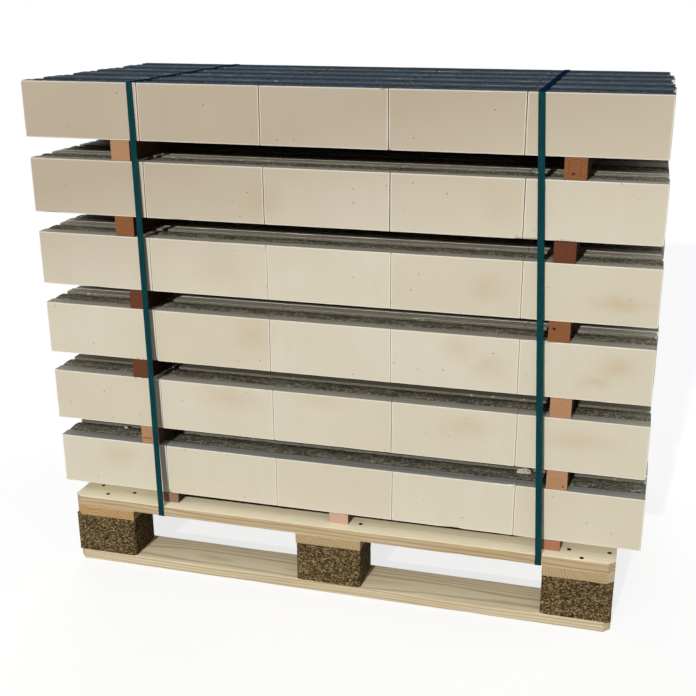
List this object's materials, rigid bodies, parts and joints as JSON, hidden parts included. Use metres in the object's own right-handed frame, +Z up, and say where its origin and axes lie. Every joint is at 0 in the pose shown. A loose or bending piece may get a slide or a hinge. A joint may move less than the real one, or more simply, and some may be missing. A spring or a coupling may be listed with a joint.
{
  "type": "pallet of flat lintels",
  "caption": "Flat lintels of cream sand-lime shells with concrete filling, stacked on wooden spacers and strapped to a four-way wooden pallet with fork entries.",
  "frame": {"origin": "middle of the pallet's underside, on the floor", "axes": "+X along the lintels and the pallet's long side, +Y from the pictured front to the back, +Z up"},
  "size_m": [1.2974, 0.801, 1.071],
  "materials": {
    "sand_lime": "matt, fine grained",
    "concrete": "rough",
    "pallet_wood": "rough sawn",
    "pressed_block": "pressed chips",
    "spacer_wood": "rough sawn",
    "strap_band": "embossed band"
  },
  "bodies": {
    "root": {"base_batten_centre": "spacer_wood", "base_batten_left": "spacer_wood", "base_batten_right": "spacer_wood", "block_centre_centre": "pressed_block", "block_centre_left": "pressed_block", "block_centre_right": "pressed_block", "block_front_centre": "pressed_block", "block_front_left": "pressed_block", "block_front_right": "pressed_block", "block_rear_centre": "pressed_block", "block_rear_left": "pressed_block", "block_rear_right": "pressed_block", "bottom_board_centre": "pallet_wood", "bottom_board_front": "pallet_wood", "bottom_board_rear": "pallet_wood", "deck_board_centre": "pallet_wood", "deck_board_front": "pallet_wood", "deck_board_front_inner": "pallet_wood", "deck_board_rear": "pallet_wood", "deck_board_rear_inner": "pallet_wood", "lintel_fillings_1": "concrete", "lintel_fillings_2": "concrete", "lintel_fillings_3": "concrete", "lintel_fillings_4": "concrete", "lintel_fillings_5": "concrete", "lintel_fillings_6": "concrete", "lintel_shells_1": "sand_lime", "lintel_shells_2": "sand_lime", "lintel_shells_3": "sand_lime", "lintel_shells_4": "sand_lime", "lintel_shells_5": "sand_lime", "lintel_shells_6": "sand_lime", "spacer_1_left": "spacer_wood", "spacer_1_right": "spacer_wood", "spacer_2_left": "spacer_wood", "spacer_2_right": "spacer_wood", "spacer_3_left": "spacer_wood", "spacer_3_right": "spacer_wood", "spacer_4_left": "spacer_wood", "spacer_4_right": "spacer_wood", "spacer_5_left": "spacer_wood", "spacer_5_right": "spacer_wood", "strap_left": "strap_band", "strap_right": "strap_band", "stringer_board_centre": "pallet_wood", "stringer_board_left": "pallet_wood", "stringer_board_right": "pallet_wood"}
  },
  "joints": []
}
